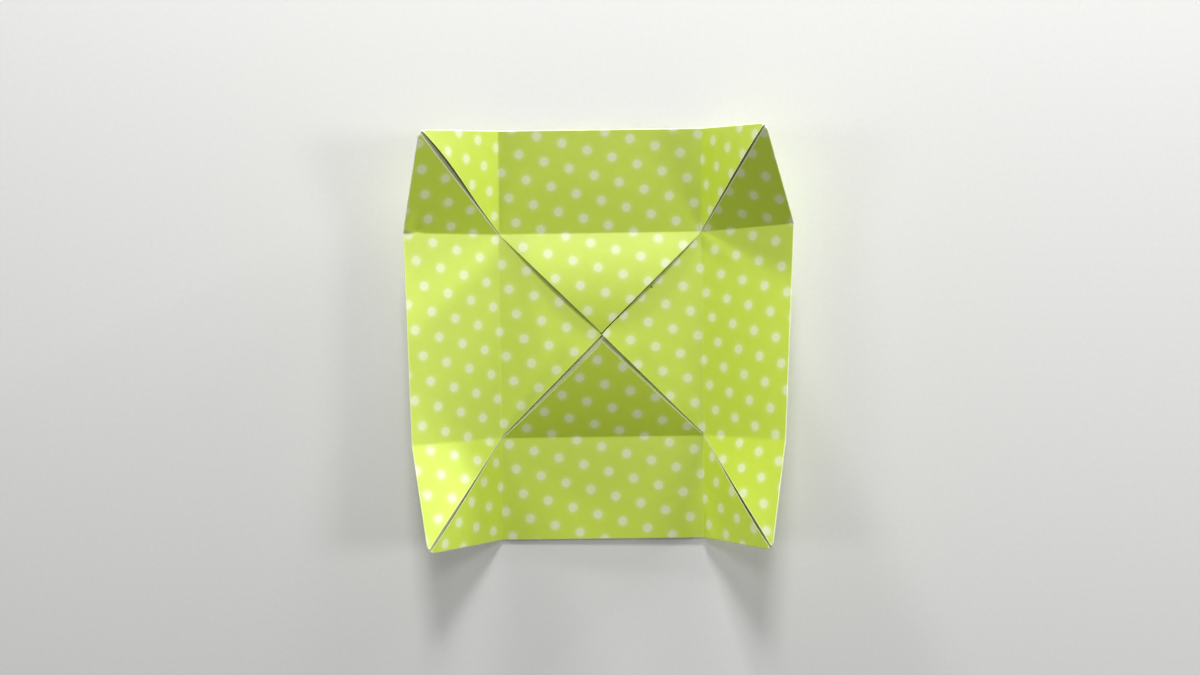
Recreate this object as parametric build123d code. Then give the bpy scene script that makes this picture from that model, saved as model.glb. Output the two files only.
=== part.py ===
from build123d import *
import math
import os

# Origami box: one square sheet, its four corners folded to the middle, then creased on
# its quarter lines so that four walls lean up around a square floor.
# Frame: origin at the middle of the floor's underside, +Z up, +X towards the right wall
# and +Y towards the rear wall. Lengths are millimetres and angles are degrees.

# The sheet of paper
sheet_side = 150.0
paper_thickness = 0.1

# How the layers lie
layer_gap = 0.16            # air between a flap and the wall that it lines
slit_gap = 0.2              # how far each flap's edge stays short of the floor's diagonal
slit_bow = 0.7              # how far a flap's edge bows back half way up to a tip
tip_setback = 0.5           # where the rim's fold ends, short of a tip

# How steeply each wall leans up from the table, at both of its ends
right_wall_front_angle = 47.5
right_wall_rear_angle = 36.5
rear_wall_right_angle = 8.0
rear_wall_left_angle = 10.0
left_wall_rear_angle = 32.0
left_wall_front_angle = 39.0
front_wall_left_angle = 1.5
front_wall_right_angle = 3.0

# How far each end of a wall is skewed along it, anticlockwise seen from above
right_wall_front_skew_angle = 0.5
right_wall_rear_skew_angle = 0.5
rear_wall_right_skew_angle = -0.4
rear_wall_left_skew_angle = -0.9
left_wall_rear_skew_angle = 1.4
left_wall_front_skew_angle = 0.4
front_wall_left_skew_angle = -0.6
front_wall_right_skew_angle = -1.2

# How steeply each flap springs up off the floor
right_flap_angle = 3.0
rear_flap_angle = 3.0
left_flap_angle = 1.5
front_flap_angle = 19.5

# How finely the curved places are faceted
wall_strips = 6             # strips across a wall, because it twists a little
rim_facets = 4              # facets round the fold along the rim

# A corner folded to the middle halves the diagonal, and the quarter lines divide it again
cell = sheet_side * math.sqrt(2) / 8

# Heights of the paper's faces above the underside of the layer that lies on the table
outer_low = 0.0
outer_high = paper_thickness
flap_low = outer_high + layer_gap
flap_high = flap_low + paper_thickness
rim_middle = flap_high / 2


def direction(turn, rise):
    """Unit vector that points outwards at a turn about Z and climbs at an angle."""
    flat = math.cos(math.radians(rise))
    climb = math.sin(math.radians(rise))
    return Vector(flat * math.cos(math.radians(turn)), flat * math.sin(math.radians(turn)), climb)


def blend(normals):
    """Direction in which a shared corner moves when its panels get thickness."""
    total = normals[0]
    for normal in normals[1:]:
        total = total + normal
    return total / total.dot(normals[0])


class Side:
    """One wall with its flap: along runs anticlockwise, and up runs from the floor to the rim."""

    def __init__(self, turn, start_rise, start_skew, end_rise, end_skew, lift):
        self.outward = direction(turn, 0)
        self.along = direction(turn + 90, 0)
        self.start_up = self.skewed(direction(turn, start_rise), start_skew)
        self.end_up = self.skewed(direction(turn, end_rise), end_skew)
        self.flap_out = direction(turn, -lift)
        self.start_corner = (self.outward - self.along) * cell
        self.end_corner = (self.outward + self.along) * cell

    def skewed(self, way, skew):
        """Direction up the wall, turned a little towards the wall's end."""
        return way * math.cos(math.radians(skew)) + self.along * math.sin(math.radians(skew))

    def up(self, along):
        """Direction up the wall at a place along it, the same past its ends as at them."""
        share = min(max((along + cell) / (2 * cell), 0), 1)
        return self.start_up * (1 - share) + self.end_up * share

    def point(self, along, up):
        """Folded place of a point on the layer's underside."""
        if up < 0:
            return self.outward * cell + self.along * along + self.flap_out * up
        if along > cell:
            return self.end_corner + self.end_up * up + self.end_rim * (along - cell)
        if along < -cell:
            return self.start_corner + self.start_up * up + self.start_rim * (along + cell)
        return self.outward * cell + self.along * along + self.up(along) * up

    def wall_normal(self, along, up):
        """Inward normal of the twisted wall."""
        run = self.along + (self.end_up - self.start_up) * (up / (2 * cell))
        return self.up(along).cross(run).normalized()

    def flap_normal(self):
        return self.flap_out.cross(self.along).normalized()

    def corner_normal(self, at_end):
        """Inward normal of the triangle between the wall and the tip."""
        if at_end:
            return self.end_up.cross(self.end_rim).normalized()
        return self.start_up.cross(self.start_rim).normalized()


def tip_of(corner, first_up, second_up):
    """Tip of a corner square folded on its diagonal, with both of its edges kept straight."""
    across = first_up.cross(second_up)
    if across.Z < 0:
        across = across * -1
    share = 1 / (1 + first_up.dot(second_up))
    rise = math.sqrt(max(2 - 2 * share, 0))
    return corner + (first_up + second_up) * (share * cell) + across.normalized() * (rise * cell)


right = Side(0, right_wall_front_angle, right_wall_front_skew_angle,
             right_wall_rear_angle, right_wall_rear_skew_angle, right_flap_angle)
rear = Side(90, rear_wall_right_angle, rear_wall_right_skew_angle,
            rear_wall_left_angle, rear_wall_left_skew_angle, rear_flap_angle)
left = Side(180, left_wall_rear_angle, left_wall_rear_skew_angle,
            left_wall_front_angle, left_wall_front_skew_angle, left_flap_angle)
front = Side(270, front_wall_left_angle, front_wall_left_skew_angle,
             front_wall_right_angle, front_wall_right_skew_angle, front_flap_angle)
sides = [right, rear, left, front]

for side, following in zip(sides, sides[1:] + sides[:1]):
    tip = tip_of(side.end_corner, side.end_up, following.start_up)
    side.end_rim = (tip - side.end_corner) / cell - side.end_up
    following.start_rim = following.start_up - (tip - following.start_corner) / cell
    side.following = following
    following.previous = side


def at_corner(along, inset=0):
    """Whether a place along a wall is a corner of the floor, or a flap's corner beside it."""
    return math.isclose(abs(along), cell - inset)


def panel(*points):
    """Flat face with its corners in order."""
    return Face(Wire.make_polygon(points, close=True))


def ribbon(first, second):
    """Triangles between two rows with as many points each."""
    faces = []
    for step in range(len(first) - 1):
        faces.append(panel(first[step], first[step + 1], second[step + 1]))
        faces.append(panel(first[step], second[step + 1], second[step]))
    return faces


def crease_places(inset):
    """Places along a wall's crease, from one corner of the floor to the other."""
    places = [-cell + 2 * cell * step / wall_strips for step in range(wall_strips + 1)]
    places[0] += inset
    places[-1] -= inset
    return places


def rim_point(side, along, height):
    """Point at the top of a wall, or of a corner triangle beside it."""
    if at_corner(along):
        normals = [side.wall_normal(along, cell), side.corner_normal(along > 0)]
    elif abs(along) > cell:
        normals = [side.corner_normal(along > 0)]
    else:
        normals = [side.wall_normal(along, cell)]
    return side.point(along, cell) + blend(normals) * height


def outer_crease_point(side, along, height):
    """Point of the outer layer where a wall leaves the floor."""
    normals = [Vector(0, 0, 1), side.wall_normal(along, 0)]
    if at_corner(along):
        at_end = along > 0
        beside = side.following if at_end else side.previous
        normals += [beside.wall_normal(-along, 0)]
        normals += [side.corner_normal(at_end), beside.corner_normal(not at_end)]
    return side.point(along, 0) + blend(normals) * height


def tip_point(side, at_end, height):
    """Point of the outer layer at a tip, where two corner triangles meet."""
    beside = side.following if at_end else side.previous
    normals = [side.corner_normal(at_end), beside.corner_normal(not at_end)]
    return side.point(2 * cell if at_end else -2 * cell, cell) + blend(normals) * height


def outer_layer(height):
    """One face of the layer that lies on the table: floor, walls and corner triangles."""
    floor = []
    faces = []
    for side in sides:
        creases = [outer_crease_point(side, along, height) for along in crease_places(0)]
        rims = [rim_point(side, along, height) for along in crease_places(0)]
        floor += creases[:-1]
        faces += ribbon(creases, rims)
        for sign in (1, -1):
            corner = outer_crease_point(side, sign * cell, height)
            crease_end = rim_point(side, sign * cell, height)
            fold_end = rim_point(side, sign * (2 * cell - tip_setback), height)
            tip = tip_point(side, sign > 0, height)
            faces.append(panel(corner, crease_end, fold_end))
            faces.append(panel(corner, fold_end, tip))
    faces.append(panel(*floor))
    return faces


def flap_crease_point(side, along, height):
    """Point of a flap where it turns from the wall to the floor."""
    normals = [side.flap_normal(), side.wall_normal(along, 0)]
    if at_corner(along, slit_gap):
        normals.append(side.corner_normal(along > 0))
    return side.point(along, 0) + blend(normals) * height


def slit_edge(side, sign, height):
    """Cut edge of a flap, from the end of the rim's fold down to the flap's point."""
    half_way = cell / 2
    normal = side.corner_normal(sign > 0)
    fold_end = rim_point(side, sign * (2 * cell - tip_setback), height)
    bow = side.point(sign * (cell + half_way - slit_bow), half_way) + normal * height
    corner = flap_crease_point(side, sign * (cell - slit_gap), height)
    apex = side.point(0, slit_gap - cell) + side.flap_normal() * height
    return [fold_end, bow, corner, apex]


def flap_layer(side, height):
    """One face of a flap: corner triangles, wall lining and the triangle over the floor."""
    creases = [flap_crease_point(side, along, height) for along in crease_places(slit_gap)]
    rims = [rim_point(side, along, height) for along in crease_places(0)]
    faces = ribbon(creases, rims)
    for sign in (1, -1):
        fold_end, bow, corner, apex = slit_edge(side, sign, height)
        crease_end = rim_point(side, sign * cell, height)
        faces.append(panel(corner, crease_end, bow))
        faces.append(panel(bow, crease_end, fold_end))
    faces.append(panel(apex, *creases))
    return faces


def rim_places():
    """Places along a rim where its fold bends or ends."""
    end = 2 * cell - tip_setback
    return [-end] + crease_places(0) + [end]


def rim_arc(side, along, radius):
    """Points round the rim's fold, from the outer layer over to the flap."""
    points = []
    for step in range(rim_facets + 1):
        angle = math.pi * step / rim_facets
        height = rim_middle - radius * math.cos(angle)
        points.append(rim_point(side, along, height) + side.up(along) * (radius * math.sin(angle)))
    return points


def rim_fold(side):
    """Both faces of the fold along a rim, with its two cut ends."""
    faces = []
    outside = [rim_arc(side, along, rim_middle) for along in rim_places()]
    inside = [rim_arc(side, along, layer_gap / 2) for along in rim_places()]
    for arcs in (outside, inside):
        for step in range(len(arcs) - 1):
            faces += ribbon(arcs[step], arcs[step + 1])
    for end in (0, -1):
        faces.append(panel(*outside[end], *reversed(inside[end])))
    return faces


def cut_edges(side):
    """Faces through the paper's thickness: along a flap's slits and beside the tips."""
    faces = []
    for sign in (1, -1):
        faces += ribbon(slit_edge(side, sign, flap_low), slit_edge(side, sign, flap_high))
        fold_end = sign * (2 * cell - tip_setback)
        low = [rim_point(side, fold_end, outer_low), tip_point(side, sign > 0, outer_low)]
        high = [rim_point(side, fold_end, outer_high), tip_point(side, sign > 0, outer_high)]
        faces += ribbon(low, high)
    return faces


def folded_sheet():
    """The whole sheet as one solid."""
    faces = outer_layer(outer_low) + outer_layer(outer_high)
    for side in sides:
        faces += flap_layer(side, flap_low) + flap_layer(side, flap_high)
        faces += rim_fold(side) + cut_edges(side)
    return Solid(Shell(faces)).fix()


sheet = folded_sheet()
os.makedirs("parts", exist_ok=True)
export_step(sheet, "parts/folded_sheet.step")
print("Sheet area by volume", round(sheet.volume / paper_thickness), "mm2 of", round(sheet_side ** 2))
print("Overall size", sheet.bounding_box().size)
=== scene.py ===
import bpy
import math
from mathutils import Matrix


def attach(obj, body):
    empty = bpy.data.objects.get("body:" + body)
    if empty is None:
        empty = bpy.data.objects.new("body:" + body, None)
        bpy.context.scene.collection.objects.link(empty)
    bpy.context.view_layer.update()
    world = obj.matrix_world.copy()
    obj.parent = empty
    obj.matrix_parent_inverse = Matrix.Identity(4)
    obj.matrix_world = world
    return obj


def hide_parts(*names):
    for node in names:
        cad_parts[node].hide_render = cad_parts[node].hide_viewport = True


# Origami tray of one square of paper, printed lime with white dots on one side. A flat sheet
# is made first, and a node tree then folds it: corners to the middle, walls up.
# Lengths are metres and angles are degrees here. +X is the right wall, +Y is the rear wall.

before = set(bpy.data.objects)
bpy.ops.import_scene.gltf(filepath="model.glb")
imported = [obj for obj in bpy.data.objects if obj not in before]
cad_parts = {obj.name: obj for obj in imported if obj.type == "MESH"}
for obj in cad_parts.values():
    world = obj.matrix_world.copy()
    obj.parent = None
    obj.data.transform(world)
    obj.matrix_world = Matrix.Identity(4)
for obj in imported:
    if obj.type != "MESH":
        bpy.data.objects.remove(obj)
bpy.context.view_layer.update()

SHEET_SIDE = 0.150
PAPER = 0.0001
LAYER_GAP = 0.00016
RIM_RADIUS = PAPER + LAYER_GAP / 2
CELL = SHEET_SIDE * math.sqrt(2) / 8        # a quarter of the folded square's side
TIP_NICK = 0.00035                          # where the rim's fold ends, short of a tip
ROUNDING = 1e-7                             # what two equal lengths may differ by

# Walls and flaps anticlockwise from above. A pair is for the start and the end of a side.
SIDES = ("right", "rear", "left", "front")
WALL_ANGLES = ((47.5, 36.5), (8.0, 10.0), (32.0, 39.0), (1.5, 3.0))
WALL_SKEWS = ((0.5, 0.5), (-0.4, -0.9), (1.4, 0.4), (-0.6, -1.2))       # along the wall
FLAP_ANGLES = (2.0, 1.5, 0.6, 19.5)
FLAP_BOWS = (-0.0001, 0.0011, 0.0001, 0.0009)       # how far a flap bows up half way to its point
FLAP_STRETCHES = (-0.003, -0.0167, 0.003, -0.004)   # share by which it reaches further to the middle
PRINT_SLIPS = (0.0, 0.00076, 0.0, 0.0006)           # how far its print has slipped to its point

# A flap's cut edges: how far they are drawn back from the slit, over the floor and up the wall,
# and how far they spring off the wall. Below zero an edge reaches over the slit.
FLOOR_GAPS = ((0.0, -0.00025), (0.00008, 0.0), (-0.0008, 0.0), (0.0005, 0.0))
SLIT_GAPS = ((0.0008, 0.0002), (0.0001, 0.0009), (0.0003, 0.0008), (0.0003, 0.0003))
SLIT_LIFTS = ((0.0007, 0.0001), (0.0003, 0.0005), (0.0001, 0.0007), (0.0001, 0.0002))
LEAST_GAP = 0.00003
FLOOR_GAP_GROWTH = 1.5                      # a floor gap is full two thirds of the way to the point
SLIT_TURN = 2.7                             # radians of a sine: widest before the tip, open at it
EDGE_PULL = 4.0                             # power that keeps a pull close to its edge

# How the whole sheet gives: soft creases, blunt tips and low waves
CREASE_SOFTNESS = 0.00042                   # half the width of a crease's bend
TIP_WEAR = 0.0013                           # nearer to a tip than this, the paper is pressed back
TIP_PRESS = 0.38                            # share of what it is too near by, both up and along
WAVE_HEIGHT = 0.00025
WAVE_LENGTH = 0.018182
WAVE_SEED = 3.0

# Small unmeant creases in the flaps: wall, both ends along and up it, height and width
SMALL_CREASES = (
    ("right wall ridge", "right", (0.0262, 0.0005), (0.0150, 0.0150), 0.00040, 0.0040),
    ("front wall ridge", "front", (0.0300, 0.0260), (0.0275, 0.0120), 0.00055, 0.0040),
    ("left rim pinch", "left", (-0.0275, 0.0255), (-0.0320, 0.0240), 0.00035, 0.0018),
    ("left rim pinch below", "left", (-0.0275, 0.0228), (-0.0345, 0.0210), -0.00030, 0.0016),
)

# Print: dots in staggered rows, a little out of square with the sheet
DOT_RADIUS = 0.00115
DOT_SOFTNESS = 0.00016                      # half the width of a dot's rim
DOT_HEART = 0.00112                         # how far out a dot is still more white than lime
ROW_STEP = (0.011743, -0.000030)            # from a dot to the same place two rows on
DOT_STEP = (0.000037, -0.006530)            # from a dot to the next one in its row
FIRST_DOT = (0.009627, 0.001208)

# Worn ink, from 0 to 1: on a side's cut edges at start and end, each over the floor and by the tip, and on
# the rim, where the pale band is also a painted highlight for the light that these edges catch. Then how
# wide a band wears on the edges, on the rim and round a tip.
CUT_WEAR_AND_HIGHLIGHT = (((0.0, 0.4), (0.0, 0.8)), ((0.1, 0.2), (0.0, 0.1)),
            ((0.1, 1.0), (0.1, 0.3)), ((1.0, 0.4), (1.0, 0.4)))
RIM_WEAR_AND_HIGHLIGHT = 0.5
CUT_WEAR_AND_HIGHLIGHT_WIDTH = 0.00030
RIM_WEAR_AND_HIGHLIGHT_WIDTH = 0.00024
TIP_WEAR_WIDTH = 0.0016

# A speck of dirt on the right flap, with the reach of its dark core and of its rim
SPECK = (0.07433, -0.05722)
SPECK_CORE = 0.00018
SPECK_RIM = 0.00036

# Sizes of patterns in paper and paint
PAPER_CLOUD = 0.00303                       # thicker and thinner places in the paper
INK_SCUFF = 0.00238                         # longer and shorter rubbed places
FIBRE = 0.00025                             # really about 0.03 mm, which is too fine to show
FIBRE_HEIGHT = 0.0001
EDGE_NICK = 0.000667
ROLLER_GRAIN = 0.00111

# Colours as sRGB hex values, a pair from the darker to the paler one
LIME_INK = ("#BAD02C", "#C1D636")
DOT_RIM = "#D6E24E"
DOT_WHITE = "#D3DDC2"
# Pale band of rubbed ink, also a painted highlight on cut edges and the rim
WORN_INK_AND_HIGHLIGHT = "#F0F2DC"
DIRT = "#2E2A12"
# Bare reverse: white darkened and tinted lime as painted shade between the layers
BARE_PAPER_IN_PAINTED_SHADE = ("#B4BC8C", "#BEC698")
# Cut edge: white fibres darkened and tinted lime as painted shade in the slits
CUT_FIBRES_IN_PAINTED_SHADE = ("#C6CE8C", "#DDE2B8")
TABLE_PAINT = ("#D6D6D4", "#DCDCDA")


def linear(code):
    """Linear colour of an sRGB hex value."""
    channels = [int(code[i:i + 2], 16) / 255 for i in (1, 3, 5)]
    return tuple(c / 12.92 if c <= 0.04045 else ((c + 0.055) / 1.055) ** 2.4 for c in channels) + (1.0,)


def add_node(tree, kind, inputs=(), **settings):
    """Adds a node with its settings. An input takes a value, a socket or a node's first output."""
    node = tree.nodes.new(kind)
    for name, value in settings.items():
        setattr(node, name, value)
    pairs = inputs.items() if isinstance(inputs, dict) else enumerate(inputs)
    for key, value in pairs:
        if isinstance(value, bpy.types.Node):
            value = value.outputs[0]
        if isinstance(value, bpy.types.NodeSocket):
            tree.links.new(value, node.inputs[key])
        else:
            node.inputs[key].default_value = value
    return node


def new_tree(name, inputs, outputs):
    """Geometry node tree with named sockets, and the outputs of its input node by name."""
    tree = bpy.data.node_groups.new(name, "GeometryNodeTree")
    for in_out, sockets in (("INPUT", inputs), ("OUTPUT", outputs)):
        for socket, kind in sockets.items():
            tree.interface.new_socket(socket, in_out=in_out, socket_type="NodeSocket" + kind)
    return tree, add_node(tree, "NodeGroupInput").outputs


# The flat sheet

def rows_from_middle():
    """Distances from the sheet's middle to its corner, closer together beside each crease."""
    crease_gaps = [0, 0.00015, 0.0003, 0.00045, 0.0006, 0.00085, 0.0012, 0.0018, 0.0024, 0.0030]
    rim_gaps = [TIP_NICK, 0.0006, 0.001, 0.0016, 0.0023, 0.0030, 0.0037]
    fold_shares = [0, 0.25, 0.5, 0.75, 1]
    floor_rows = 19
    wall_rows = 17
    floor_end = CELL - crease_gaps[-1]
    wall_start = CELL + crease_gaps[-1]
    wall_end = 2 * CELL - rim_gaps[-1]
    rows = [floor_end * step / floor_rows for step in range(floor_rows)]
    rows += [CELL - gap for gap in reversed(crease_gaps)]
    rows += [CELL + gap for gap in crease_gaps[1:]]
    rows += [wall_start + (wall_end - wall_start) * step / wall_rows for step in range(1, wall_rows)]
    rows += [2 * CELL - gap for gap in reversed(rim_gaps)]
    rows += [2 * CELL - RIM_RADIUS * share for share in reversed(fold_shares)]
    return rows + [4 * CELL - row for row in reversed(rows[:-1])]


def at_tip(x, y):
    """Whether a cell lies in the nick at a tip, where the rim folds of two walls meet."""
    longer = max(abs(x), abs(y))
    shorter = min(abs(x), abs(y))
    return longer > 2 * CELL - RIM_RADIUS and shorter > 2 * CELL - TIP_NICK


def flat_sheet():
    """Flat square on its corner, printed side down."""
    positive = rows_from_middle()
    rows = [-row for row in reversed(positive[1:])] + positive
    points = []
    numbers = {}
    faces = []

    def number(i, j):
        """Number of the point where two rows cross, which is added when first asked for."""
        if (i, j) not in numbers:
            numbers[i, j] = len(points)
            points.append((rows[i], rows[j], 0.0))
        return numbers[i, j]

    reach = 4 * CELL + ROUNDING
    for i in range(len(rows) - 1):
        for j in range(len(rows) - 1):
            corners = [(i, j), (i, j + 1), (i + 1, j + 1), (i + 1, j)]
            inside = [c for c in corners if abs(rows[c[0]]) + abs(rows[c[1]]) < reach]
            if len(inside) < 3:
                continue
            x = sum(rows[c[0]] for c in inside) / len(inside)
            y = sum(rows[c[1]] for c in inside) / len(inside)
            if at_tip(x, y):
                continue
            on_diagonal = len(inside) == 4 and math.isclose(abs(x), abs(y), abs_tol=ROUNDING)
            if on_diagonal and CELL < abs(x) < 2 * CELL:
                # A corner's fold runs through these cells
                if x * y > 0:
                    halves = [[corners[0], corners[1], corners[2]], [corners[0], corners[2], corners[3]]]
                else:
                    halves = [[corners[0], corners[1], corners[3]], [corners[1], corners[2], corners[3]]]
                faces += [[number(*c) for c in half] for half in halves]
            else:
                faces.append([number(*c) for c in inside])
    mesh = bpy.data.meshes.new("flat_sheet")
    mesh.from_pydata(points, [], faces)
    lay_print(mesh)
    mark_edge_wear_and_highlight(mesh, points)
    mesh.shade_smooth()
    return mesh


def lay_print(mesh):
    """Gives the flat sheet a UV map that is square with its edges, for the print to follow.

    On a flap the print slips on towards its point, evenly from the floor's crease.
    """
    uv = mesh.uv_layers.new(name="sheet")
    half = math.sqrt(0.5)
    for loop in mesh.loops:
        x, y, _ = mesh.vertices[loop.vertex_index].co
        flap_share = max(max(abs(x), abs(y)) / CELL - 3, 0)
        if abs(x) > abs(y):
            x -= math.copysign(PRINT_SLIPS[0 if x > 0 else 2] * flap_share, x)
        else:
            y -= math.copysign(PRINT_SLIPS[1 if y > 0 else 3] * flap_share, y)
        across = (x + y) * half / SHEET_SIDE + 0.5
        along = (y - x) * half / SHEET_SIDE + 0.5
        uv.data[loop.index].uv = (across, along)


def mark_edge_wear_and_highlight(mesh, points):
    """Marks each point with how rubbed the cut edge beside it is, and so how much painted highlight it gets.
    """
    wear = mesh.attributes.new("cut_wear_and_highlight", "FLOAT", "POINT")
    for index, (x, y, _) in enumerate(points):
        turns = math.atan2(y, x) / (math.pi / 2) + 0.5
        side = math.floor(turns) % 4
        at_end = turns % 1 > 0.5
        by_tip = max(abs(x), abs(y)) < 3 * CELL
        wear.data[index].value = CUT_WEAR_AND_HIGHLIGHT[side][at_end][by_tip]


# The trees that fold it. A point is seen with its own wall to the right, so +X is outwards.

OUTWARD = (1.0, 0.0, 0.0)
ALONG = (0.0, 1.0, 0.0)
MIRROR = (1.0, -1.0, 1.0)                   # turns the start of a wall into an end


def soft_crease_tree():
    """Rounded corner of a crease: 0 before it, the distance past it after it, and its slope."""
    tree, given = new_tree("soft_crease", {"Distance": "Float", "Softness": "Float"},
                           {"Ramp": "Float", "Slope": "Float"})
    distance = given["Distance"]
    softness = given["Softness"]
    width = add_node(tree, "ShaderNodeMath", (softness, 2.0), operation="MULTIPLY")
    past_start = add_node(tree, "ShaderNodeMath", (distance, softness), operation="ADD")
    slope = add_node(tree, "ShaderNodeMath", (past_start, width), operation="DIVIDE", use_clamp=True)
    squared = add_node(tree, "ShaderNodeMath", (slope, slope), operation="MULTIPLY")
    bend = add_node(tree, "ShaderNodeMath", (squared, softness), operation="MULTIPLY")
    past_end = add_node(tree, "ShaderNodeMath", (distance, softness), operation="SUBTRACT")
    straight = add_node(tree, "ShaderNodeMath", (past_end, 0.0), operation="MAXIMUM")
    ramp = add_node(tree, "ShaderNodeMath", (bend, straight), operation="ADD")
    add_node(tree, "NodeGroupOutput", (ramp, slope))
    return tree


def wall_way_tree():
    """Way up a wall with +X outwards, from how steeply it leans and how far it is skewed."""
    tree, given = new_tree("way_up_wall", {"Angle": "Float", "Skew": "Float"}, {"Way": "Vector"})
    skewed = add_node(tree, "ShaderNodeVectorRotate", {"Vector": OUTWARD, "Angle": given["Skew"]},
                      rotation_type="Z_AXIS")
    lean = add_node(tree, "ShaderNodeMath", (given["Angle"], -1.0), operation="MULTIPLY")
    way = add_node(tree, "ShaderNodeVectorRotate", {"Vector": skewed, "Angle": lean}, rotation_type="Y_AXIS")
    add_node(tree, "NodeGroupOutput", (way,))
    return tree


def rim_way_tree():
    """Way that the rim runs on from a wall to a tip, so that both corner triangles stay flat."""
    tree, given = new_tree("rim_to_tip", {"Wall way": "Vector", "Way beside": "Vector"},
                           {"Rim way": "Vector"})
    first = given["Wall way"]
    second = add_node(tree, "ShaderNodeVectorRotate", {"Vector": given["Way beside"], "Angle": math.pi / 2},
                      rotation_type="Z_AXIS")
    across = add_node(tree, "ShaderNodeVectorMath", (first, second), operation="CROSS_PRODUCT")
    normal = add_node(tree, "ShaderNodeVectorMath", (across,), operation="NORMALIZE")
    both = add_node(tree, "ShaderNodeVectorMath", (first, second), operation="ADD")
    shared = add_node(tree, "ShaderNodeVectorMath", (first, second), operation="DOT_PRODUCT")
    more = add_node(tree, "ShaderNodeMath", (shared.outputs["Value"], 1.0), operation="ADD")
    share = add_node(tree, "ShaderNodeMath", (1.0, more), operation="DIVIDE")
    left_over = add_node(tree, "ShaderNodeMath", (share, -2.0, 2.0), operation="MULTIPLY_ADD")
    rise = add_node(tree, "ShaderNodeMath", (left_over,), operation="SQRT")
    flat_part = add_node(tree, "ShaderNodeVectorMath", {0: both, "Scale": share}, operation="SCALE")
    raised = add_node(tree, "ShaderNodeVectorMath", {0: normal, "Scale": rise}, operation="SCALE")
    diagonal = add_node(tree, "ShaderNodeVectorMath", (flat_part, raised), operation="ADD")
    way = add_node(tree, "ShaderNodeVectorMath", (diagonal, first), operation="SUBTRACT")
    add_node(tree, "NodeGroupOutput", (way,))
    return tree


def small_crease_tree():
    """Height of one small crease: falls off evenly beside its line, and to nothing at its end."""
    tree, size = new_tree("small_crease",
                          {"Place": "Vector", "From": "Vector", "To": "Vector", "Height": "Float",
                           "Width": "Float"}, {"Rise": "Float"})
    line = add_node(tree, "ShaderNodeVectorMath", (size["To"], size["From"]), operation="SUBTRACT")
    from_start = add_node(tree, "ShaderNodeVectorMath", (size["Place"], size["From"]), operation="SUBTRACT")
    far = add_node(tree, "ShaderNodeVectorMath", (from_start, line), operation="DOT_PRODUCT")
    full = add_node(tree, "ShaderNodeVectorMath", (line, line), operation="DOT_PRODUCT")
    share = add_node(tree, "ShaderNodeMath", (far.outputs["Value"], full.outputs["Value"]),
                     operation="DIVIDE", use_clamp=True)
    on_line = add_node(tree, "ShaderNodeVectorMath", {0: line, "Scale": share}, operation="SCALE")
    off_line = add_node(tree, "ShaderNodeVectorMath", (from_start, on_line), operation="SUBTRACT")
    off = add_node(tree, "ShaderNodeVectorMath", (off_line,), operation="LENGTH")
    fall = add_node(tree, "ShaderNodeMapRange",
                    {"Value": off.outputs["Value"], "From Max": size["Width"], "To Min": 1.0, "To Max": 0.0},
                    interpolation_type="SMOOTHSTEP")
    left = add_node(tree, "ShaderNodeMath", (1.0, share), operation="SUBTRACT")
    fading = add_node(tree, "ShaderNodeMath", (fall, left), operation="MULTIPLY")
    rise = add_node(tree, "ShaderNodeMath", (fading, size["Height"]), operation="MULTIPLY")
    add_node(tree, "NodeGroupOutput", (rise,))
    return tree


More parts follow.
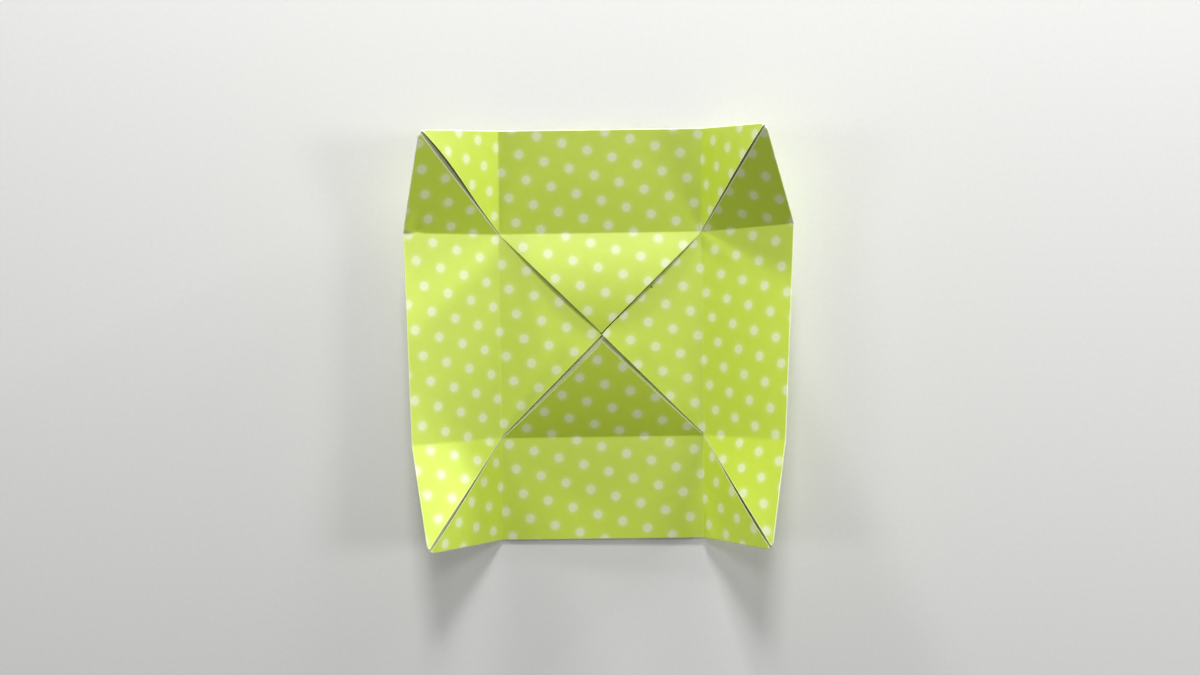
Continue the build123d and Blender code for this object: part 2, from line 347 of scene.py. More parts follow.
def fold_tree(size_names, material):
    """Node tree that folds the flat sheet, with a named input for each of its sizes."""
    sockets = {"Flat sheet": "Geometry"}
    sockets.update({name: "Float" for name in size_names})
    tree, size = new_tree("fold_the_sheet", sockets, {"Folded sheet": "Geometry"})
    tree.is_modifier = True
    soft_crease = soft_crease_tree()
    way_up_wall = wall_way_tree()
    rim_to_tip = rim_way_tree()
    small_crease = small_crease_tree()

    # Sizes that follow from the inputs
    cell = add_node(tree, "ShaderNodeMath", (size["Sheet side"], math.sqrt(2) / 8), operation="MULTIPLY")
    two_cells = add_node(tree, "ShaderNodeMath", (cell, 2.0), operation="MULTIPLY")
    half_gap = add_node(tree, "ShaderNodeMath", (size["Layer gap"], 0.5), operation="MULTIPLY")
    radius = add_node(tree, "ShaderNodeMath", (size["Paper thickness"], half_gap), operation="ADD")

    # Which wall a point belongs to, and its place seen with that wall to the right
    place = add_node(tree, "GeometryNodeInputPosition")
    part = add_node(tree, "ShaderNodeSeparateXYZ", (place,))
    heading = add_node(tree, "ShaderNodeMath", (part.outputs["Y"], part.outputs["X"]), operation="ARCTAN2")
    quarters = add_node(tree, "ShaderNodeMath", (heading, 2 / math.pi, 0.5), operation="MULTIPLY_ADD")
    whole = add_node(tree, "ShaderNodeMath", (quarters,), operation="FLOOR")
    side = add_node(tree, "ShaderNodeMath", (whole, 4.0), operation="FLOORED_MODULO")
    turn = add_node(tree, "ShaderNodeMath", (side, math.pi / 2), operation="MULTIPLY")
    turn_back = add_node(tree, "ShaderNodeMath", (turn, -1.0), operation="MULTIPLY")
    turned = add_node(tree, "ShaderNodeVectorRotate", {"Vector": place, "Angle": turn_back},
                      rotation_type="Z_AXIS")
    flat = add_node(tree, "ShaderNodeSeparateXYZ", (turned,))
    side_number = add_node(tree, "FunctionNodeFloatToInt", (side,))

    def of_this_side(size_name, beside=0):
        """A size of a point's own side, or of the side that many places on from it."""
        switch = add_node(tree, "GeometryNodeIndexSwitch", data_type="FLOAT")
        while len(switch.index_switch_items) < len(SIDES):
            switch.index_switch_items.new()
        tree.links.new(side_number.outputs[0], switch.inputs["Index"])
        for index in range(len(SIDES)):
            side_name = SIDES[(index + beside) % len(SIDES)]
            tree.links.new(size[side_name + " " + size_name], switch.inputs[1 + index])
        return switch

    def way_up(end, beside=0):
        """Way up the start or the end of a point's own wall, or of the wall beside it."""
        angle = of_this_side("wall angle " + end, beside)
        skew = of_this_side("wall skew " + end, beside)
        return add_node(tree, "GeometryNodeGroup", {"Angle": angle, "Skew": skew}, node_tree=way_up_wall)

    start_up = way_up("start")
    end_up = way_up("end")
    up_before = way_up("end", -1)
    up_after = way_up("start", 1)
    flap_angle = of_this_side("flap angle")

    # Height up the wall: up to the rim, round its fold, and down again on the flap
    past_rim = add_node(tree, "ShaderNodeMath", (flat.outputs["X"], two_cells), operation="SUBTRACT")
    on_flap = add_node(tree, "ShaderNodeMath", (past_rim, 0.0), operation="GREATER_THAN")
    from_rim = add_node(tree, "ShaderNodeMath", (past_rim,), operation="ABSOLUTE")
    round_share = add_node(tree, "ShaderNodeMath", (past_rim, radius), operation="DIVIDE")
    round_low = add_node(tree, "ShaderNodeMath", (round_share, -1.0), operation="MAXIMUM")
    round_both = add_node(tree, "ShaderNodeMath", (round_low, 1.0), operation="MINIMUM")
    arc = add_node(tree, "ShaderNodeMath", (round_both, math.pi / 2), operation="MULTIPLY")
    arc_out = add_node(tree, "ShaderNodeMath", (arc,), operation="COSINE")
    arc_up = add_node(tree, "ShaderNodeMath", (arc,), operation="SINE")
    off_arc = add_node(tree, "ShaderNodeMath", (from_rim, radius), operation="MAXIMUM")
    straight_up = add_node(tree, "ShaderNodeMath", (cell, off_arc), operation="SUBTRACT")
    true_up = add_node(tree, "ShaderNodeMath", (arc_out, radius, straight_up), operation="MULTIPLY_ADD")
    flap_share = add_node(tree, "ShaderNodeMath", (arc_up, 0.5, 0.5), operation="MULTIPLY_ADD")
    layers = add_node(tree, "ShaderNodeMath", (radius, 2.0), operation="MULTIPLY")
    layer_height = add_node(tree, "ShaderNodeMath", (flap_share, layers), operation="MULTIPLY")

    # Over the floor a flap bows up along a parabola that is 1 half way to its point, and it is
    # stretched or shortened a little
    over_floor = add_node(tree, "ShaderNodeMath", (true_up, 0.0), operation="MINIMUM")
    floor_share = add_node(tree, "ShaderNodeMath", (over_floor, cell), operation="DIVIDE")
    floor_rest = add_node(tree, "ShaderNodeMath", (floor_share, 1.0), operation="ADD")
    bow_shape = add_node(tree, "ShaderNodeMath", (floor_share, floor_rest), operation="MULTIPLY")
    bow_arc = add_node(tree, "ShaderNodeMath", (bow_shape, -4.0), operation="MULTIPLY")
    bow = of_this_side("flap bow")
    bow_here = add_node(tree, "ShaderNodeMath", (bow_arc, bow), operation="MULTIPLY")
    flap_bow = add_node(tree, "ShaderNodeMath", (bow_here, flap_share), operation="MULTIPLY")
    stretch = of_this_side("flap stretch")
    stretched = add_node(tree, "ShaderNodeMath", (over_floor, stretch), operation="MULTIPLY")
    flap_reach = add_node(tree, "ShaderNodeMath", (stretched, flap_share, true_up), operation="MULTIPLY_ADD")

    # Tips are worn blunt: what lies close to one is pressed back towards the floor
    true_along = flat.outputs["Y"]
    way = add_node(tree, "ShaderNodeMath", (true_along,), operation="SIGN")
    off_middle = add_node(tree, "ShaderNodeMath", (true_along,), operation="ABSOLUTE")
    tip_far = add_node(tree, "ShaderNodeMath", (cell, 3.0), operation="MULTIPLY")
    up_and_along = add_node(tree, "ShaderNodeMath", (true_up, off_middle), operation="ADD")
    to_tip = add_node(tree, "ShaderNodeMath", (tip_far, up_and_along), operation="SUBTRACT")
    too_near = add_node(tree, "ShaderNodeMath", (size["Tip wear"], to_tip), operation="SUBTRACT")
    pressed = add_node(tree, "ShaderNodeMath", (too_near, 0.0), operation="MAXIMUM")
    press = add_node(tree, "ShaderNodeMath", (pressed, TIP_PRESS), operation="MULTIPLY")
    up = add_node(tree, "ShaderNodeMath", (flap_reach, press), operation="SUBTRACT")
    press_along = add_node(tree, "ShaderNodeMath", (press, way), operation="MULTIPLY")
    flat_along = add_node(tree, "ShaderNodeMath", (true_along, press_along), operation="SUBTRACT")
    at_end = add_node(tree, "ShaderNodeMath", (flat_along, 0.0), operation="GREATER_THAN")

    def of_this_end(size_name):
        """A size of a point's own side, at the end of it that the point is nearer to."""
        at_start_size = of_this_side(size_name + " start")
        at_end_size = of_this_side(size_name + " end")
        return add_node(tree, "ShaderNodeMix", {0: at_end, 2: at_start_size, 3: at_end_size})

    # A flap's cut edge: drawn back from the slit, most of all between the floor and the tip
    reach = add_node(tree, "ShaderNodeMath", (cell, true_up), operation="ADD")
    off_crease = add_node(tree, "ShaderNodeMath", (floor_share, -FLOOR_GAP_GROWTH),
                          operation="MULTIPLY", use_clamp=True)
    floor_gap = add_node(tree, "ShaderNodeMath", (of_this_end("floor gap"), off_crease, size["Least gap"]),
                         operation="MULTIPLY_ADD")
    up_share = add_node(tree, "ShaderNodeMath", (true_up, cell), operation="DIVIDE", use_clamp=True)
    near_tip = add_node(tree, "ShaderNodeMath", (up_share, up_share), operation="MULTIPLY")
    open_arc = add_node(tree, "ShaderNodeMath", (near_tip, SLIT_TURN), operation="MULTIPLY")
    open_share = add_node(tree, "ShaderNodeMath", (open_arc,), operation="SINE")
    gap_here = add_node(tree, "ShaderNodeMath", (of_this_end("slit gap"), open_share, floor_gap),
                        operation="MULTIPLY_ADD")
    edge_share = add_node(tree, "ShaderNodeMath", (off_middle, reach), operation="DIVIDE", use_clamp=True)
    near_edge = add_node(tree, "ShaderNodeMath", (edge_share, EDGE_PULL), operation="POWER")
    edge_pull = add_node(tree, "ShaderNodeMath", (near_edge, gap_here), operation="MULTIPLY")
    flap_pull = add_node(tree, "ShaderNodeMath", (edge_pull, flap_share), operation="MULTIPLY")
    pull = add_node(tree, "ShaderNodeMath", (flap_pull, way), operation="MULTIPLY")
    across = add_node(tree, "ShaderNodeMath", (flat_along, pull), operation="SUBTRACT")

    # The same edge springs off the wall on its way to the tip
    past_wall = add_node(tree, "ShaderNodeMath", (off_middle, cell), operation="SUBTRACT")
    least_up = add_node(tree, "ShaderNodeMath", (true_up, ROUNDING), operation="MAXIMUM")
    free_share = add_node(tree, "ShaderNodeMath", (past_wall, least_up), operation="DIVIDE", use_clamp=True)
    freed = add_node(tree, "ShaderNodeMath", (free_share, free_share), operation="MULTIPLY")
    bulge_arc = add_node(tree, "ShaderNodeMath", (near_tip, math.pi), operation="MULTIPLY")
    bulge = add_node(tree, "ShaderNodeMath", (bulge_arc,), operation="SINE")
    sprung = add_node(tree, "ShaderNodeMath", (freed, bulge), operation="MULTIPLY")
    spring = add_node(tree, "ShaderNodeMath", (sprung, of_this_end("slit lift")), operation="MULTIPLY")
    flap_spring = add_node(tree, "ShaderNodeMath", (spring, flap_share), operation="MULTIPLY")

    # A flap never lies quite flat: long, low waves that die out at its creases
    uneven = add_node(tree, "ShaderNodeCombineXYZ", {"X": up, "Y": flat_along, "Z": side})
    waves = add_node(tree, "ShaderNodeTexNoise",
                     {"Vector": uneven, "W": size["Wave seed"], "Scale": 1 / WAVE_LENGTH, "Detail": 1.0},
                     noise_dimensions="4D")
    wave_arc = add_node(tree, "ShaderNodeMath", (up_share, math.pi), operation="MULTIPLY")
    wave_keep = add_node(tree, "ShaderNodeMath", (wave_arc,), operation="SINE")
    wave_here = add_node(tree, "ShaderNodeMath", (waves.outputs[0], wave_keep), operation="MULTIPLY")
    uneven_height = add_node(tree, "ShaderNodeMath", (wave_here, size["Wave height"]), operation="MULTIPLY")
    on_wall = add_node(tree, "ShaderNodeCombineXYZ", {"X": flat_along, "Y": true_up})
    for name, wall, begin, end, rise, width in SMALL_CREASES:
        crease = add_node(tree, "GeometryNodeGroup",
                          {"Place": on_wall, "From": begin + (0.0,), "To": end + (0.0,),
                           "Height": rise, "Width": width}, node_tree=small_crease, label=name)
        same_side = add_node(tree, "ShaderNodeMath", (side, float(SIDES.index(wall)), 0.5),
                             operation="COMPARE")
        uneven_height = add_node(tree, "ShaderNodeMath", (crease, same_side, uneven_height),
                                 operation="MULTIPLY_ADD")
    flap_wave = add_node(tree, "ShaderNodeMath", (uneven_height, flap_share), operation="MULTIPLY")
    bowed = add_node(tree, "ShaderNodeMath", (layer_height, flap_bow), operation="ADD")
    lifted = add_node(tree, "ShaderNodeMath", (bowed, flap_spring), operation="ADD")
    height = add_node(tree, "ShaderNodeMath", (lifted, flap_wave), operation="ADD")

    # The wall's own lean, which turns evenly from its start to its end
    turning = add_node(tree, "ShaderNodeVectorMath", (end_up, start_up), operation="SUBTRACT")
    from_start = add_node(tree, "ShaderNodeMath", (across, cell), operation="ADD")
    lean_share = add_node(tree, "ShaderNodeMath", (from_start, two_cells),
                          operation="DIVIDE", use_clamp=True)
    leaned = add_node(tree, "ShaderNodeVectorMath", {0: turning, "Scale": lean_share}, operation="SCALE")
    wall_up = add_node(tree, "ShaderNodeVectorMath", (start_up, leaned), operation="ADD")
    flap_out = add_node(tree, "ShaderNodeMath", (flap_angle,), operation="COSINE")
    flap_up = add_node(tree, "ShaderNodeMath", (flap_angle,), operation="SINE")
    flap_down = add_node(tree, "ShaderNodeMath", (flap_up, -1.0), operation="MULTIPLY")
    flap_way = add_node(tree, "ShaderNodeCombineXYZ", {"X": flap_out, "Z": flap_down})
    base_or_flap = add_node(tree, "ShaderNodeMix", {0: on_flap, 4: OUTWARD, 5: flap_way},
                            data_type="VECTOR")
    floor_way = base_or_flap.outputs[1]

    # Bends at the floor's crease and at both ends of the wall
    softness = size["Crease softness"]
    wall_bend = add_node(tree, "ShaderNodeVectorMath", (wall_up, floor_way), operation="SUBTRACT")
    up_ramp = add_node(tree, "GeometryNodeGroup", {"Distance": up, "Softness": softness},
                       node_tree=soft_crease)
    past_end = add_node(tree, "ShaderNodeMath", (across, cell), operation="SUBTRACT")
    end_ramp = add_node(tree, "GeometryNodeGroup", {"Distance": past_end, "Softness": softness},
                        node_tree=soft_crease)
    past_start = add_node(tree, "ShaderNodeMath", (from_start, -1.0), operation="MULTIPLY")
    start_ramp = add_node(tree, "GeometryNodeGroup", {"Distance": past_start, "Softness": softness},
                          node_tree=soft_crease)
    end_rim = add_node(tree, "GeometryNodeGroup", {"Wall way": end_up, "Way beside": up_after},
                       node_tree=rim_to_tip)
    start_mirrored = add_node(tree, "ShaderNodeVectorMath", (start_up, MIRROR), operation="MULTIPLY")
    before_mirrored = add_node(tree, "ShaderNodeVectorMath", (up_before, MIRROR), operation="MULTIPLY")
    start_rim = add_node(tree, "GeometryNodeGroup",
                         {"Wall way": start_mirrored, "Way beside": before_mirrored}, node_tree=rim_to_tip)
    mirrored = add_node(tree, "ShaderNodeVectorMath", (start_rim, MIRROR), operation="MULTIPLY")
    end_bend = add_node(tree, "ShaderNodeVectorMath", (end_rim, ALONG), operation="SUBTRACT")
    start_bend = add_node(tree, "ShaderNodeVectorMath", (mirrored, ALONG), operation="ADD")

    # Folded place of the paper's printed face, and how it changes up the wall and along it
    folded = add_node(tree, "ShaderNodeCombineXYZ", {"X": cell, "Y": across})
    flat_part = add_node(tree, "ShaderNodeVectorMath", {0: floor_way, "Scale": up}, operation="SCALE")
    folded = add_node(tree, "ShaderNodeVectorMath", (folded, flat_part), operation="ADD")
    slopes = []
    for bend, ramp in ((wall_bend, up_ramp), (end_bend, end_ramp), (start_bend, start_ramp)):
        bent = add_node(tree, "ShaderNodeVectorMath", {0: bend, "Scale": ramp.outputs["Ramp"]},
                        operation="SCALE")
        folded = add_node(tree, "ShaderNodeVectorMath", (folded, bent), operation="ADD")
        slopes.append(add_node(tree, "ShaderNodeVectorMath", {0: bend, "Scale": ramp.outputs["Slope"]},
                               operation="SCALE"))
    up_slope, end_slope, start_slope = slopes
    up_change = add_node(tree, "ShaderNodeVectorMath", (floor_way, up_slope), operation="ADD")
    twist_share = add_node(tree, "ShaderNodeMath", (up_ramp.outputs["Ramp"], two_cells), operation="DIVIDE")
    twist = add_node(tree, "ShaderNodeVectorMath", {0: turning, "Scale": twist_share}, operation="SCALE")
    along_twist = add_node(tree, "ShaderNodeVectorMath", (twist, ALONG), operation="ADD")
    along_end = add_node(tree, "ShaderNodeVectorMath", (along_twist, end_slope), operation="ADD")
    along_change = add_node(tree, "ShaderNodeVectorMath", (along_end, start_slope), operation="SUBTRACT")

    # The layer's height stands square on that place
    upright = add_node(tree, "ShaderNodeVectorMath", (up_change, along_change), operation="CROSS_PRODUCT")
    normal = add_node(tree, "ShaderNodeVectorMath", (upright,), operation="NORMALIZE")
    raised = add_node(tree, "ShaderNodeVectorMath", {0: normal, "Scale": height}, operation="SCALE")
    folded = add_node(tree, "ShaderNodeVectorMath", (folded, raised), operation="ADD")
    in_place = add_node(tree, "ShaderNodeVectorRotate", {"Vector": folded, "Angle": turn},
                        rotation_type="Z_AXIS")

    moved = add_node(tree, "GeometryNodeSetPosition", {"Geometry": size["Flat sheet"], "Position": in_place})
    real = add_node(tree, "GeometryNodeRealizeInstances", {"Geometry": moved})
    printed = add_node(tree, "GeometryNodeSetMaterial", {"Geometry": real, "Material": material})
    add_node(tree, "NodeGroupOutput", (printed,))
    return tree


# Materials

def new_material(name):
    """Empty material for one finish, and its tree."""
    material = bpy.data.materials.new(name)
    material.use_nodes = True
    tree = material.node_tree
    tree.nodes.clear()
    return material, tree


def mottled(tree, place, size, detail, colours):
    """Two colours that run into each other in soft blots."""
    blots = add_node(tree, "ShaderNodeTexNoise", {"Vector": place, "Scale": 1 / size, "Detail": detail})
    mixed = add_node(tree, "ShaderNodeMix",
                     {0: blots, 6: linear(colours[0]), 7: linear(colours[1])}, data_type="RGBA")
    return mixed.outputs[2]


def fibre_bumps(tree, place, strength):
    """Tooth of the paper, from fibres that are drawn coarser than they are, so that they show."""
    fibres = add_node(tree, "ShaderNodeTexNoise", {"Vector": place, "Scale": 1 / FIBRE, "Detail": 2.0})
    return add_node(tree, "ShaderNodeBump",
                    {"Strength": strength, "Distance": FIBRE_HEIGHT, "Height": fibres})


def from_nearest_dot(tree, place):
    """Distance to the middle of the nearest dot, counted along two slightly skewed directions."""
    first = (FIRST_DOT[0], FIRST_DOT[1], 0.0)
    from_dot = add_node(tree, "ShaderNodeVectorMath", (place, first), operation="SUBTRACT")
    area = ROW_STEP[0] * DOT_STEP[1] - ROW_STEP[1] * DOT_STEP[0]
    row_count = (DOT_STEP[1] / area, -DOT_STEP[0] / area, 0.0)
    dot_count = (-ROW_STEP[1] / area, ROW_STEP[0] / area, 0.0)
    in_rows = add_node(tree, "ShaderNodeVectorMath", (from_dot, row_count), operation="DOT_PRODUCT")
    in_dots = add_node(tree, "ShaderNodeVectorMath", (from_dot, dot_count), operation="DOT_PRODUCT")
    counted = add_node(tree, "ShaderNodeCombineXYZ",
                       {"X": in_rows.outputs["Value"], "Y": in_dots.outputs["Value"]})
    steps = (math.hypot(*ROW_STEP), math.hypot(*DOT_STEP), 0.0)
    half_step = (0.5, 0.5, 0.0)

    # Every second row is staggered by half a step, so dots are counted from two places
    shifted = add_node(tree, "ShaderNodeVectorMath", (counted, half_step), operation="ADD")
    distances = []
    for count in (shifted, counted):
        in_cell = add_node(tree, "ShaderNodeVectorMath", (count,), operation="FRACTION")
        off_middle = add_node(tree, "ShaderNodeVectorMath", (in_cell, half_step), operation="SUBTRACT")
        away = add_node(tree, "ShaderNodeVectorMath", (off_middle, steps), operation="MULTIPLY")
        distance = add_node(tree, "ShaderNodeVectorMath", (away,), operation="LENGTH")
        distances.append(distance.outputs["Value"])
    return add_node(tree, "ShaderNodeMath", distances, operation="MINIMUM")


def wear_and_highlight_share(tree, place):
    """How much ink is rubbed off along the cut edges, along the rim's fold and at the tips; along the edges
    and the rim this pale band is also a painted highlight.
    """
    aside = add_node(tree, "ShaderNodeVectorMath", (place,), operation="ABSOLUTE")
    aside_parts = add_node(tree, "ShaderNodeSeparateXYZ", (aside,))
    longer = add_node(tree, "ShaderNodeMath", (aside_parts.outputs["X"], aside_parts.outputs["Y"]),
                      operation="MAXIMUM")
    shorter = add_node(tree, "ShaderNodeMath", (aside_parts.outputs["X"], aside_parts.outputs["Y"]),
                       operation="MINIMUM")
    to_edge = add_node(tree, "ShaderNodeMath", (SHEET_SIDE / 2, longer), operation="SUBTRACT")
    from_tip = add_node(tree, "ShaderNodeCombineXYZ", {"X": to_edge, "Y": shorter})
    to_tip = add_node(tree, "ShaderNodeVectorMath", (from_tip,), operation="LENGTH")
    on_corner = add_node(tree, "ShaderNodeVectorRotate", {"Vector": place, "Angle": math.pi / 4},
                         rotation_type="Z_AXIS")
    out = add_node(tree, "ShaderNodeVectorMath", (on_corner,), operation="ABSOLUTE")
    out_parts = add_node(tree, "ShaderNodeSeparateXYZ", (out,))
    outer = add_node(tree, "ShaderNodeMath", (out_parts.outputs["X"], out_parts.outputs["Y"]),
                     operation="MAXIMUM")
    past_rim = add_node(tree, "ShaderNodeMath", (outer, 2 * CELL), operation="SUBTRACT")
    to_rim = add_node(tree, "ShaderNodeMath", (past_rim,), operation="ABSOLUTE")
    scuffs = add_node(tree, "ShaderNodeTexNoise", {"Vector": place, "Scale": 1 / INK_SCUFF, "Detail": 4.0})
    cut_wear_and_highlight = add_node(tree, "ShaderNodeAttribute", attribute_name="cut_wear_and_highlight")
    worn_and_lit = 0.0
    for distance, width, strength in ((to_edge, CUT_WEAR_AND_HIGHLIGHT_WIDTH, cut_wear_and_highlight.outputs["Fac"]),
                                      (to_rim, RIM_WEAR_AND_HIGHLIGHT_WIDTH, RIM_WEAR_AND_HIGHLIGHT),
                                      (to_tip.outputs["Value"], TIP_WEAR_WIDTH, 1.0)):
        bare_width = add_node(tree, "ShaderNodeMath", (scuffs, width), operation="MULTIPLY")
        line = add_node(tree, "ShaderNodeMapRange",
                        {"Value": distance, "From Min": bare_width, "From Max": width,
                         "To Min": strength, "To Max": 0.0}, interpolation_type="SMOOTHSTEP")
        worn_and_lit = add_node(tree, "ShaderNodeMath", (worn_and_lit, line), operation="MAXIMUM")
    return worn_and_lit


def lime_print():
    """Offset-printed lime ink with unprinted white dots, on matt origami paper.

    The ink is even and slightly chalky, and the paper's fibres show through as a faint cloud.
    """
    material, tree = new_material("offset_printed_lime_paper")
    uv = add_node(tree, "ShaderNodeUVMap", uv_map="sheet")
    centred = add_node(tree, "ShaderNodeVectorMath", (uv, (0.5, 0.5, 0.0)), operation="SUBTRACT")
    place = add_node(tree, "ShaderNodeVectorMath", {0: centred, "Scale": SHEET_SIDE}, operation="SCALE")

    # A dot is whitest in its middle, and the lime ink bleeds in from its rim
    off_dot = from_nearest_dot(tree, place)
    dot = add_node(tree, "ShaderNodeMapRange",
                   {"Value": off_dot, "From Min": DOT_RADIUS - DOT_SOFTNESS,
                    "From Max": DOT_RADIUS + DOT_SOFTNESS, "To Min": 1.0, "To Max": 0.0},
                   interpolation_type="SMOOTHSTEP")
    out_share = add_node(tree, "ShaderNodeMath", (off_dot, DOT_HEART), operation="DIVIDE")
    out_squared = add_node(tree, "ShaderNodeMath", (out_share, out_share), operation="MULTIPLY")
    fading = add_node(tree, "ShaderNodeMath", (out_squared, -1.0), operation="MULTIPLY")
    heart = add_node(tree, "ShaderNodeMath", (fading,), operation="EXPONENT")

    # One dark speck of dirt beside the slit
    from_speck = add_node(tree, "ShaderNodeVectorMath", (place, SPECK + (0.0,)), operation="SUBTRACT")
    off_speck = add_node(tree, "ShaderNodeVectorMath", (from_speck,), operation="LENGTH")
    speck = add_node(tree, "ShaderNodeMapRange",
                     {"Value": off_speck.outputs["Value"], "From Min": SPECK_CORE, "From Max": SPECK_RIM,
                      "To Min": 1.0, "To Max": 0.0}, interpolation_type="SMOOTHSTEP")

    # The ink, and what lies over it or shows in its place
    colour = mottled(tree, place, PAPER_CLOUD, 3.0, LIME_INK)
    worn_and_lit = wear_and_highlight_share(tree, place)
    # The rubbed band on cut edges and the rim is also a painted highlight
    for share, shown in ((dot, DOT_RIM), (heart, DOT_WHITE), (worn_and_lit, WORN_INK_AND_HIGHLIGHT), (speck, DIRT)):
        mixed = add_node(tree, "ShaderNodeMix", {0: share, 6: colour, 7: linear(shown)}, data_type="RGBA")
        colour = mixed.outputs[2]
    paper = add_node(tree, "ShaderNodeBsdfPrincipled",
                     {"Base Color": colour, "Roughness": 0.52, "IOR": 1.6, "Specular IOR Level": 0.9,
                      "Normal": fibre_bumps(tree, place, 0.06)})
    add_node(tree, "ShaderNodeOutputMaterial", {"Surface": paper})
    return material


def bare_reverse_in_painted_shade():
    """Unprinted reverse of thin origami paper: uncoated and matt, its white painted darker and tinted lime
    as the shade between the layers where it lies.
    """
    material, tree = new_material("uncoated_white_paper_in_painted_shade")
    uv = add_node(tree, "ShaderNodeUVMap", uv_map="sheet")
    place = add_node(tree, "ShaderNodeVectorMath", {0: uv, "Scale": SHEET_SIDE}, operation="SCALE")
    paper = add_node(tree, "ShaderNodeBsdfPrincipled",
                     {"Base Color": mottled(tree, place, PAPER_CLOUD, 3.0, BARE_PAPER_IN_PAINTED_SHADE), "Roughness": 0.9,
                      "IOR": 1.45, "Specular IOR Level": 0.2, "Normal": fibre_bumps(tree, place, 0.1)})
    add_node(tree, "ShaderNodeOutputMaterial", {"Surface": paper})
    return material


def cut_edge_in_painted_shade():
    """Guillotined edge of the sheet: bare white fibres, darkened and tinted lime as painted shade and
    painted light bounced off the print.
    """
    material, tree = new_material("cut_paper_edge_in_painted_shade")
    where = add_node(tree, "ShaderNodeTexCoord").outputs["Object"]
    paper = add_node(tree, "ShaderNodeBsdfPrincipled",
                     {"Base Color": mottled(tree, where, EDGE_NICK, 2.0, CUT_FIBRES_IN_PAINTED_SHADE), "Roughness": 0.95,
                      "IOR": 1.45, "Specular IOR Level": 0.2})
    add_node(tree, "ShaderNodeOutputMaterial", {"Surface": paper})
    return material


def pale_table():
    """Matt painted table top, with the faint grain of a roller."""
    material, tree = new_material("matt_painted_table")
    where = add_node(tree, "ShaderNodeTexCoord").outputs["Object"]
    paint = add_node(tree, "ShaderNodeBsdfPrincipled",
                     {"Base Color": mottled(tree, where, ROLLER_GRAIN, 2.0, TABLE_PAINT),
                      "Roughness": 0.8, "Specular IOR Level": 0.3})
    add_node(tree, "ShaderNodeOutputMaterial", {"Surface": paint})
    return material


# The tray

def fold_sizes():
    """Every named size of the fold, in metres and radians."""
    sizes = {"Sheet side": SHEET_SIDE, "Paper thickness": PAPER, "Layer gap": LAYER_GAP,
             "Crease softness": CREASE_SOFTNESS, "Least gap": LEAST_GAP, "Tip wear": TIP_WEAR,
             "Wave height": WAVE_HEIGHT, "Wave seed": WAVE_SEED}
    for index, name in enumerate(SIDES):
        sizes[name + " flap angle"] = math.radians(FLAP_ANGLES[index])
        sizes[name + " flap bow"] = FLAP_BOWS[index]
        sizes[name + " flap stretch"] = FLAP_STRETCHES[index]
        for which, end in enumerate((" start", " end")):
            sizes[name + " wall angle" + end] = math.radians(WALL_ANGLES[index][which])
            sizes[name + " wall skew" + end] = math.radians(WALL_SKEWS[index][which])
            sizes[name + " floor gap" + end] = FLOOR_GAPS[index][which]
            sizes[name + " slit gap" + end] = SLIT_GAPS[index][which]
            sizes[name + " slit lift" + end] = SLIT_LIFTS[index][which]
    return sizes


def folded_tray():
    """Folds the flat sheet, gives it its thickness and keeps the result as a plain mesh."""
    flat = flat_sheet()
    for material in (lime_print(), bare_reverse_in_painted_shade(), cut_edge_in_painted_shade()):
        flat.materials.append(material)
    tray = bpy.data.objects.new("folded_paper_tray", flat)
    bpy.context.collection.objects.link(tray)
    sizes = fold_sizes()
    fold = tray.modifiers.new("fold", "NODES")
    fold.node_group = fold_tree(sizes, flat.materials[0])
    for socket in fold.node_group.interface.items_tree:
        if socket.in_out == "INPUT" and socket.name in sizes:
            fold[socket.identifier] = sizes[socket.name]
    thickness = tray.modifiers.new("paper_thickness", "SOLIDIFY")
    thickness.thickness = PAPER
    thickness.offset = -1.0
    thickness.use_even_offset = True
    thickness.material_offset = 1
    thickness.material_offset_rim = 2
    evaluated = tray.evaluated_get(bpy.context.evaluated_depsgraph_get())
    mesh = bpy.data.meshes.new_from_object(evaluated)
    mesh.name = "folded_paper_tray"
    tray.modifiers.clear()
    tray.data = mesh
    mesh.set_sharp_from_angle(angle=math.radians(60))
    return tray


tray = folded_tray()
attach(tray, "root")
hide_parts("folded_sheet")


# Table, camera and light

TABLE_SIDE = 4.0
TABLE_DROP = 0.00005                        # keeps the table's face clear of the tray's

# The photo looks straight down, from 282 mm above the table, turned a little
CAMERA_PLACE = (-0.000456, -0.000724, 0.2819)
CAMERA_TURN = -0.79
PHOTO_WIDTH = 1200.0                        # pixels
FOCAL_LENGTH = 1081.08                      # pixels
SENSOR_WIDTH = 36.0                         # millimetres

LAMP_DISTANCE = 0.6                         # from the tray's middle
ROOM_LIGHT = 0.09


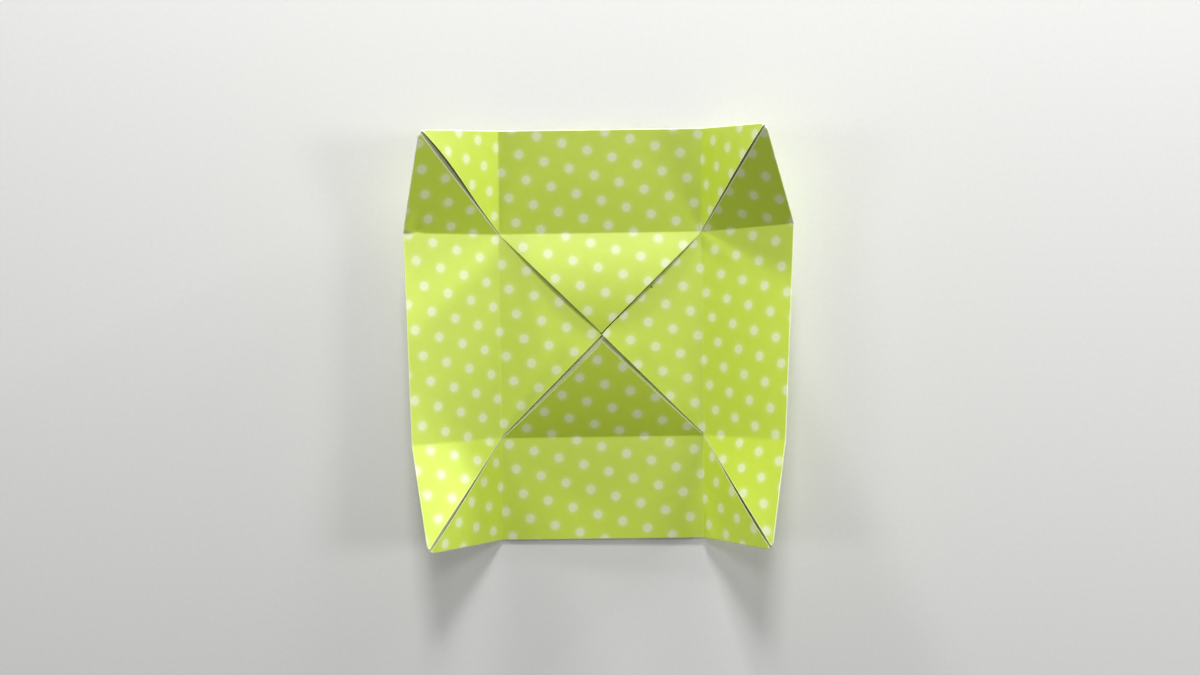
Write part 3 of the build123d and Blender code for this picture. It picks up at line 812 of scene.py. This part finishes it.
def table_top():
    """Plain square table under the tray."""
    half = TABLE_SIDE / 2
    corners = [(x, y, -TABLE_DROP) for x, y in ((-half, -half), (half, -half), (half, half), (-half, half))]
    mesh = bpy.data.meshes.new("table")
    mesh.from_pydata(corners, [], [(0, 1, 2, 3)])
    mesh.materials.append(pale_table())
    table = bpy.data.objects.new("table", mesh)
    bpy.context.collection.objects.link(table)
    return table


def photo_camera():
    """Camera with the photo's place and field of view."""
    lens = bpy.data.cameras.new("camera_above")
    lens.sensor_width = SENSOR_WIDTH
    lens.lens = SENSOR_WIDTH * FOCAL_LENGTH / PHOTO_WIDTH
    lens.clip_start = 0.01
    camera = bpy.data.objects.new("camera_above", lens)
    camera.location = CAMERA_PLACE
    camera.rotation_euler = (0.0, 0.0, math.radians(CAMERA_TURN))
    bpy.context.collection.objects.link(camera)
    return camera


def soft_box(name, heading, rise, side, power):
    """Square soft box that faces the tray, with its side in metres and its power in watts.

    Its heading is counted anticlockwise from the right, and its rise from the table.
    """
    lamp = bpy.data.lights.new(name, "AREA")
    lamp.shape = "SQUARE"
    lamp.size = side
    lamp.energy = power
    box = bpy.data.objects.new(name, lamp)
    out = LAMP_DISTANCE * math.cos(math.radians(rise))
    height = LAMP_DISTANCE * math.sin(math.radians(rise))
    box.location = (out * math.cos(math.radians(heading)), out * math.sin(math.radians(heading)), height)
    box.rotation_euler = (math.radians(90 - rise), 0.0, math.radians(90 + heading))
    bpy.context.collection.objects.link(box)


table_top()
bpy.context.scene.camera = photo_camera()

# High boxes for the whole tray, and low ones behind it and to its right that rake the walls
soft_box("above", 90, 70, 0.12, 0.56)
soft_box("high_rear", 90, 40, 0.12, 1.92)
soft_box("high_right", 0, 40, 0.12, 0.79)
soft_box("high_left", 180, 40, 0.12, 0.48)
soft_box("low_rear_right", 45, 8, 0.12, 0.75)
soft_box("low_rear", 75, 8, 0.12, 1.51)
soft_box("low_rear_left", 105, 8, 0.06, 2.95)
soft_box("lowest_right", 33, 5, 0.04, 1.25)

world = bpy.data.worlds.new("soft_room")
world.use_nodes = True
background = world.node_tree.nodes["Background"]
background.inputs["Color"].default_value = (1.0, 1.0, 1.0, 1.0)
background.inputs["Strength"].default_value = ROOM_LIGHT
bpy.context.scene.world = world
bpy.context.scene.view_settings.view_transform = "Standard"
